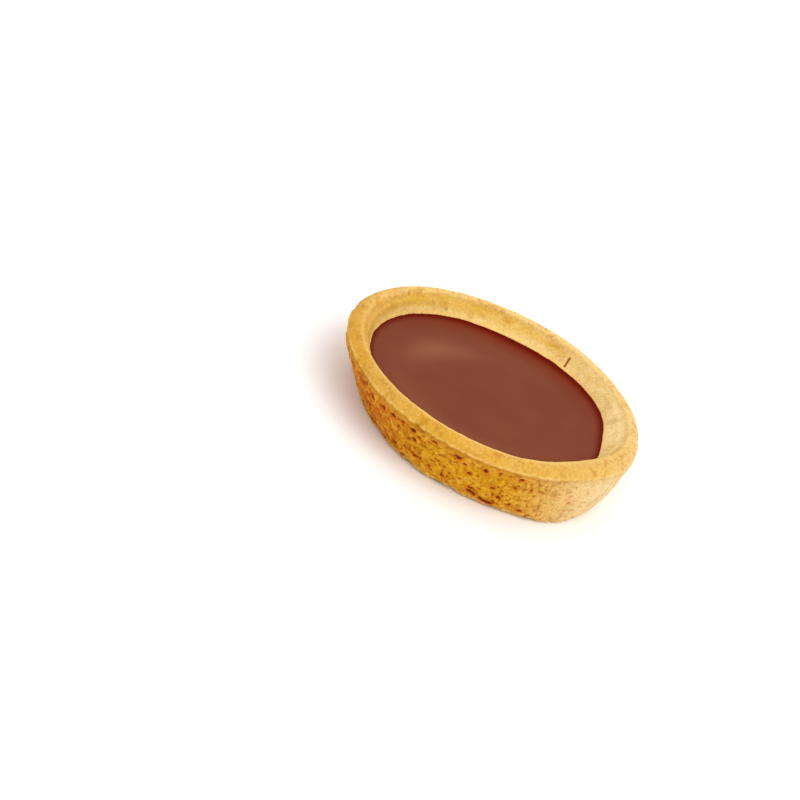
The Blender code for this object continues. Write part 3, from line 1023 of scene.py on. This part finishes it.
def pastryMaterial():
    # gold on the rim and gold to brown on the wall, the brown partly painted shade at the -X end, with cream,
    # toast and pale places, the pale partly painted light at the +X end, then sand, painted shade in hollows
    # and painted light on lumps, worn edges with painted highlights, pores, pits and specks over both
    material, tree, shader = newMaterial("bakedBiscuit")
    look = pastryLook
    surfaces = ("wall", "collar", "slope", "outer", "paleAndLit", "brownAndShaded", "cream", "toast", "wearAndHighlight")
    field = {name: attributeValue(tree, name) for name in (*surfaces, "pit", "halo", "reliefShading", "speck")}
    sand = remap(tree, noiseValue(tree, look["sandSize"], look["sandDetail"]), *look["sandFrom"])
    cloud = remap(tree, noiseValue(tree, look["cloudSize"], look["sandDetail"]), *look["cloudFrom"])
    paleAndLit = product(tree, field["paleAndLit"], look["paleLitShare"])

    rim = blendColour(tree, field["slope"], look["rimGold"], look["rimSlope"])
    rim = blendColour(tree, field["outer"], rim, look["rimOuter"])
    # rim browner towards -X, partly painted shade
    rim = blendColour(tree, product(tree, field["brownAndShaded"], look["rimBrownShadedShare"]), rim, look["rimBrownShaded"])
    rim = blendColour(tree, product(tree, cloud, look["cloudShare"]), rim, look["rimPale"])
    palest = blendColour(tree, field["slope"], look["rimPale"], look["slopePaleLit"])
    # rim paler towards +X, partly painted light
    rim = blendColour(tree, paleAndLit, rim, palest)
    rim = blendColour(tree, field["cream"], rim, look["cream"])
    rim = blendColour(tree, product(tree, field["toast"], look["toastShare"]), rim, look["toast"])
    # wall gold to brown towards -X, the brown partly painted shade
    wall = blendColour(tree, field["brownAndShaded"], look["wallGold"], look["wallBrownShaded"])
    # wall paler towards +X, partly painted light
    wall = blendColour(tree, paleAndLit, wall, look["wallPaleLit"])
    # collar paler towards +X, partly painted light
    collarPale = product(tree, field["paleAndLit"], look["collarPaleShare"])
    # collar darker than the wall, partly painted shade under the ridge
    collar = blendColour(tree, collarPale, look["collar"], look["wallPaleLit"])
    colour = blendColour(tree, field["wall"], rim, wall)
    colour = blendColour(tree, product(tree, field["collar"], look["collarShare"]), colour, collar)

    grainy = remap(tree, calculate(tree, "MAXIMUM", field["wall"], field["collar"]), 0, 1, *look["grainy"])
    litPaleWall = product(tree, field["wall"], field["paleAndLit"])
    grainy = product(tree, grainy, remap(tree, litPaleWall, 0, 1, 1, look["grainyPale"]))
    # painted shade in the hollows of the relief
    hollowShade = product(tree, remap(tree, field["reliefShading"], *look["hollowShadeFrom"]), grainy)
    colour = blendColour(tree, hollowShade, colour, look["hollowShadeTint"], "MULTIPLY")
    colour = blendColour(tree, product(tree, sand, grainy), colour, look["sandTint"], "MULTIPLY")
    # painted light on the lumps of the relief
    lumpLight = remap(tree, field["reliefShading"], *look["lumpLightFrom"], 0, look["lumpLightShare"])
    lumpLight = product(tree, lumpLight, field["wall"], remap(tree, field["paleAndLit"], 0, 1, 1, 0))
    colour = blendColour(tree, lumpLight, colour, look["lumpLight"])
    # wear and painted highlights along the edges
    colour = blendColour(tree, product(tree, field["wearAndHighlight"], look["wearAndHighlightShare"]), colour, look["wearAndHighlight"])

    pores = poreValue(tree, look["poreCell"], look["poreRadius"])
    pores = product(tree, pores, field["wall"], remap(tree, field["paleAndLit"], 0, 1, *look["poreShares"]))
    colour = blendColour(tree, pores, colour, look["pitTint"], "MULTIPLY")
    halo = product(tree, field["halo"], look["haloShare"])
    colour = blendColour(tree, halo, colour, look["haloTint"], "MULTIPLY")
    pitTint = remap(tree, field["pit"], *look["pitTintFrom"])
    colour = blendColour(tree, pitTint, colour, look["pitTint"], "MULTIPLY")
    colour = blendColour(tree, remap(tree, field["pit"], *look["pitDarkFrom"]), colour, look["pitDark"])
    colour = blendColour(tree, product(tree, field["speck"], look["speckShare"]), colour, look["speck"])
    tree.links.new(colour, shader.inputs["Base Color"])
    shader.inputs["Roughness"].default_value = look["roughness"]
    shader.inputs["Specular IOR Level"].default_value = look["shine"]
    rough = noiseValue(tree, look["sandSize"], look["bumpDetail"], look["bumpRoughness"])
    rough = product(tree, rough, remap(tree, field["wall"], 0, 1, look["bumpOnRim"], 1))
    addBump(tree, shader, rough, look["bumpStrength"], look["bumpDepth"])
    return material


chocolateLook = {
    "body": (0.174, 0.043, 0.0205),
    "light": (0.186, 0.047, 0.023),
    # colour of the painted highlight and painted sheen
    "sheenHighlight": (0.240, 0.081, 0.041),
    # deep red of the painted reflection of the crust and painted shade at the far side
    "warm": (0.165, 0.010, 0.001),
    # deep red of the painted shade along the edge
    "edge": (0.112, 0.003, 0.0004),
    "cloudSize": 0.009,
    "cloudDetail": 2,
    "cloudFrom": (0.35, 0.65),
    "roughness": 0.26,
    "roughnessSpread": (-0.03, 0.04),
    "glossSize": 0.004,
    "glossDetail": 3,
    "glossFrom": (0.3, 0.7),
    "shine": 0.008,
    "bumpSize": 0.0015,
    "bumpStrength": 0.1,
    "bumpDepth": 0.00004,
}


def chocolateMaterial():
    # two browns in soft clouds, then a painted highlight and sheen, a painted reflection of the crust at the
    # far side and painted shade along the edge over them
    material, tree, shader = newMaterial("setMilkChocolate")
    look = chocolateLook
    cloud = remap(tree, noiseValue(tree, look["cloudSize"], look["cloudDetail"]), *look["cloudFrom"])
    colour = blendColour(tree, cloud, look["body"], look["light"])
    # painted highlight, then painted reflection of the crust, then painted shade along the edge
    for name in ("sheenHighlight", "warm", "edge"):
        colour = blendColour(tree, attributeValue(tree, name), colour, look[name])
    tree.links.new(colour, shader.inputs["Base Color"])
    least, most = (look["roughness"] + spread for spread in look["roughnessSpread"])
    gloss = noiseValue(tree, look["glossSize"], look["glossDetail"])
    gloss = remap(tree, gloss, *look["glossFrom"], least, most)
    tree.links.new(gloss, shader.inputs["Roughness"])
    shader.inputs["Specular IOR Level"].default_value = look["shine"]
    ripple = noiseValue(tree, look["bumpSize"], look["cloudDetail"])
    addBump(tree, shader, ripple, look["bumpStrength"], look["bumpDepth"])
    return material


# Floor and light, with sizes in metres
stage = {
    "floorSize": 4.0,
    "floorColour": (0.92, 0.92, 0.92),
    "floorLighter": 0.01,
    "floorCloudSize": 0.02,
    "floorCloudFrom": (0.3, 0.7),
    "floorRoughness": 0.9,
    "floorShine": 0.1,
    "worldColour": (1, 1, 1, 1),
    "worldStrength": 1.08,
    "keyStrength": 0.9,
    "keySpread": 50,  # degrees: the larger, the softer the shadow
    "keyAzimuth": 130,  # degrees from +Y towards +X
    "keyElevation": 58,
}


def direction(azimuth, elevation):
    # unit vector towards a light, from its turn off +Y and its height above the floor
    turn, rise = math.radians(azimuth), math.radians(elevation)
    return Vector((math.sin(turn) * math.cos(rise), math.cos(turn) * math.cos(rise), math.sin(rise)))


def addFloor():
    half = stage["floorSize"] / 2
    mesh = bpy.data.meshes.new("whiteFloor")
    corners = [(-half, -half, 0), (half, -half, 0), (half, half, 0), (-half, half, 0)]
    mesh.from_pydata(corners, [], [(0, 1, 2, 3)])
    floor = bpy.data.objects.new("whiteFloor", mesh)
    bpy.context.scene.collection.objects.link(floor)
    material, tree, shader = newMaterial("whiteCard")
    tone = remap(tree, noiseValue(tree, stage["floorCloudSize"], 2), *stage["floorCloudFrom"])
    lighter = tuple(min(value + stage["floorLighter"], 1) for value in stage["floorColour"])
    tree.links.new(blendColour(tree, tone, stage["floorColour"], lighter), shader.inputs["Base Color"])
    shader.inputs["Roughness"].default_value = stage["floorRoughness"]
    shader.inputs["Specular IOR Level"].default_value = stage["floorShine"]
    mesh.materials.append(material)
    print("floor: white card")


def addLight():
    world = bpy.data.worlds.new("softRoom")
    world.use_nodes = True
    sky = world.node_tree.nodes["Background"]
    sky.inputs["Color"].default_value = stage["worldColour"]
    sky.inputs["Strength"].default_value = stage["worldStrength"]
    bpy.context.scene.world = world
    data = bpy.data.lights.new("keyLight", "SUN")
    data.energy = stage["keyStrength"]
    data.angle = math.radians(stage["keySpread"])
    key = bpy.data.objects.new("keyLight", data)
    towards = direction(stage["keyAzimuth"], stage["keyElevation"])
    key.rotation_euler = towards.to_track_quat("Z", "Y").to_euler()
    bpy.context.scene.collection.objects.link(key)
    bpy.context.scene.view_settings.view_transform = "Standard"
    print("light: key and room")


addCamera()
buildShell()
buildChocolate()
addFloor()
addLight()
